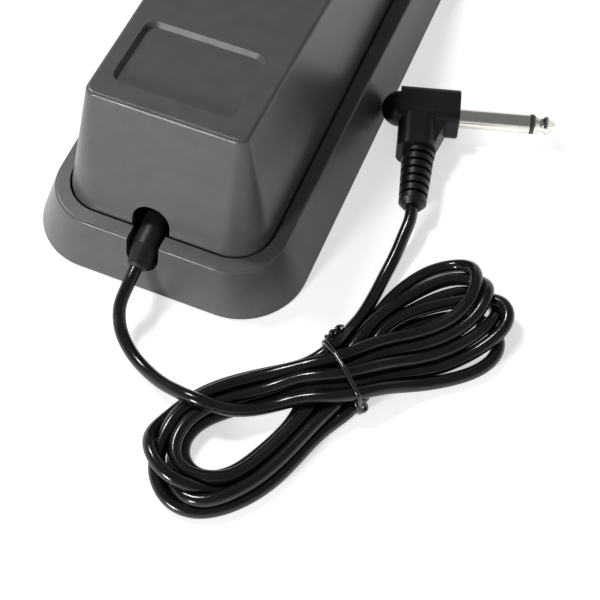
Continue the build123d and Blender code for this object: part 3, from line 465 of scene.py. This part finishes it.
cord_shape, cord = round_curve("cord", CORD / 2, MATERIALS["cord_jacket"], CORD_SIDES)
add_spline(cord_shape, course)
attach(cord, "base")
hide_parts("cord_pedal_lead", "cord_plug_lead", "cord_hank")

# ---------------------------------------------------------------- the wire tie
WIRE = 0.7  # its radius
RING_STEP = 1.2
TIE_REACH = 16  # strands further from the tie's middle than this don't go through it
RIM_POINTS = 32
TAIL_STEP = 0.5
TWIST_PITCH = 4.6
TWIST_RADIUS = WIRE * 1.02
# the twisted tail, which lies above the tie in the photograph's view
TAIL = [
    (-60.2, 97.6, 9.4),
    (-58.6, 95.6, 8.0),
    (-57.9, 92.8, 6.4),
    (-58.9, 90.0, 6.2),
    (-60.9, 87.8, 7.4),
]
# the small loop at its other side: across the tie, along it, height
EYE = [
    (7.4, 0.6, 7.8),
    (8.9, 1.0, 6.6),
    (9.9, 0.2, 5.0),
    (9.9, -1.3, 4.1),
    (9.0, -2.1, 4.7),
    (7.8, -1.2, 6.6),
]


def through_tie(points):
    """Where the hank's strands pass the tie: how far across and how high."""
    along = (points[:, :2] - TIE) @ ALONG
    across = (points[:, :2] - TIE) @ ACROSS
    places = []
    for i in range(len(points) - 1):
        near = np.linalg.norm(points[i, :2] - TIE) < TIE_REACH
        if near and along[i] * along[i + 1] <= 0:
            share = along[i] / (along[i] - along[i + 1])
            place = (1 - share) * across[i] + share * across[i + 1]
            height = (1 - share) * points[i, 2] + share * points[i + 1, 2]
            places.append((place, height))
    return places


def turned_left(first, middle, last):
    """Whether three points in a plane turn to the left."""
    ahead = (middle[0] - first[0]) * (last[1] - first[1])
    return ahead > (middle[1] - first[1]) * (last[0] - first[0])


def taut_round(places, reach):
    """The shortest closed line at a distance round some places."""
    angles = np.linspace(0, 2 * math.pi, RIM_POINTS, endpoint=False)
    rim = sorted(
        (y + reach * math.cos(angle), z + reach * math.sin(angle))
        for y, z in places
        for angle in angles
    )
    line = []
    for half in (rim, rim[::-1]):
        start = len(line)
        for point in half:
            while len(line) - start > 1 and not turned_left(line[-2], line[-1], point):
                line.pop()
            line.append(point)
        line.pop()
    return line


def twisted(path, phase):
    """One of two wires that twist round each other along a path."""
    path, _ = smooth(np.array(path), np.ones(len(path), bool))
    path = evenly(path, TAIL_STEP)
    way = np.gradient(path, axis=0)
    way /= np.linalg.norm(way, axis=1)[:, None]
    side = np.cross(way, (0, 0, 1))
    side /= np.linalg.norm(side, axis=1)[:, None]
    rise = np.cross(side, way)
    angle = (2 * math.pi * reach_of(path) / TWIST_PITCH + phase)[:, None]
    return path + TWIST_RADIUS * (np.cos(angle) * side + np.sin(angle) * rise)


tie_shape, tie = round_curve("cord_tie_wire", WIRE, MATERIALS["tie_plastic"], WIRE_SIDES)
outline = taut_round(through_tie(hank), CORD / 2 + WIRE)
ring = [at_tie(across, 0, height) for across, height in outline]
ring = evenly(np.array(ring + ring[:1]), RING_STEP)
add_spline(tie_shape, ring[:-1], closed=True)
for phase in (0, math.pi):
    add_spline(tie_shape, twisted(TAIL, phase))
add_spline(tie_shape, [at_tie(*place) for place in EYE], closed=True)
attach(tie, "base")
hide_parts("cord_tie")

# ---------------------------------------------------------------- table, room, light and camera
TABLE_HALF = 4.0
TABLE_COLOUR = (0.9, 0.88, 0.875, 1)
TABLE_ROUGHNESS = 0.7
TABLE_GLOW = 0.6  # makes the table look paler without lighting the pedal
WHITE = (1, 1, 1, 1)
WORLD_LIGHT = 0.16
WALLS, CEILING = 1.0, 0.2  # how the room looks above the table: white walls under a dim ceiling
WALL_TO_CEILING = (0.15, 0.5)  # between which steepness of a look upwards one turns into the other
CENTRE = (0, 0.03, 0)
SENSOR = 36
LENS = 79.2
CAMERA_PLACE = (-0.1207, 0.26418, 0.34458)
CAMERA_FORWARD = (0.19221, -0.46216, -0.86571)
CAMERA_UPWARD = (0.33034, -0.80021, 0.50054)


def seen_rays(tree_nodes, links):
    """1 where a surface is looked at, also mirrored or through glass; 0 where it gives light."""
    path = tree_nodes.new("ShaderNodeLightPath").outputs
    looked_at = path["Is Camera Ray"]
    for ray in ("Is Glossy Ray", "Is Transmission Ray"):
        either = tree_nodes.new("ShaderNodeMath")
        either.operation = "MAXIMUM"
        links.new(looked_at, either.inputs[0])
        links.new(path[ray], either.inputs[1])
        looked_at = either.outputs["Value"]
    return looked_at


floor_mesh = bpy.data.meshes.new("table")
corners = [(x * TABLE_HALF, y * TABLE_HALF, 0) for x, y in ((-1, -1), (1, -1), (1, 1), (-1, 1))]
floor_mesh.from_pydata(corners, [], [(0, 1, 2, 3)])
floor = bpy.data.objects.new("table", floor_mesh)
bpy.context.scene.collection.objects.link(floor)
floor_material = bpy.data.materials.new("table")
tree_nodes, links, shader = tree(floor_material)
shader.inputs["Base Color"].default_value = TABLE_COLOUR
shader.inputs["Roughness"].default_value = TABLE_ROUGHNESS
shader.inputs["Emission Color"].default_value = WHITE
glow = ramp(tree_nodes, links, seen_rays(tree_nodes, links), 0, TABLE_GLOW, (0, 1))
links.new(glow, shader.inputs["Emission Strength"])
floor.data.materials.append(floor_material)

world = bpy.data.worlds.new("studio")
bpy.context.scene.world = world
world.use_nodes = True
tree_nodes = world.node_tree.nodes
links = world.node_tree.links
background = tree_nodes["Background"]
background.inputs["Color"].default_value = WHITE
direction = tree_nodes.new("ShaderNodeTexCoord").outputs["Generated"]
parts = tree_nodes.new("ShaderNodeSeparateXYZ")
links.new(direction, parts.inputs["Vector"])
look = ramp(tree_nodes, links, parts.outputs["Z"], WALLS, CEILING, WALL_TO_CEILING)
choice = tree_nodes.new("ShaderNodeMix")
choice.inputs["A"].default_value = WORLD_LIGHT
links.new(seen_rays(tree_nodes, links), choice.inputs["Factor"])
links.new(look, choice.inputs["B"])
links.new(choice.outputs["Result"], background.inputs["Strength"])


def softbox(name, place, width, height, power):
    """A rectangular studio lamp, turned to the middle of the scene."""
    lamp = bpy.data.lights.new(name, "AREA")
    lamp.shape = "RECTANGLE"
    lamp.size = width
    lamp.size_y = height
    lamp.energy = power
    holder = bpy.data.objects.new(name, lamp)
    holder.location = place
    holder.rotation_euler = (Vector(CENTRE) - Vector(place)).to_track_quat("-Z", "Y").to_euler()
    bpy.context.scene.collection.objects.link(holder)


softbox("key", (0.55, 1.5, 0.55), width=0.3, height=0.26, power=18)
softbox("top", (0.85, -0.3, 1.3), width=0.3, height=0.3, power=14)

camera_data = bpy.data.cameras.new("camera")
camera_data.sensor_width = SENSOR
camera_data.lens = LENS
camera = bpy.data.objects.new("camera", camera_data)
forward = Vector(CAMERA_FORWARD).normalized()
rightward = forward.cross(Vector(CAMERA_UPWARD)).normalized()
upward = rightward.cross(forward)
turn = Matrix((rightward, upward, -forward)).transposed().to_4x4()
camera.matrix_world = Matrix.Translation(CAMERA_PLACE) @ turn
bpy.context.scene.collection.objects.link(camera)
bpy.context.scene.camera = camera
bpy.context.scene.view_settings.view_transform = "Standard"
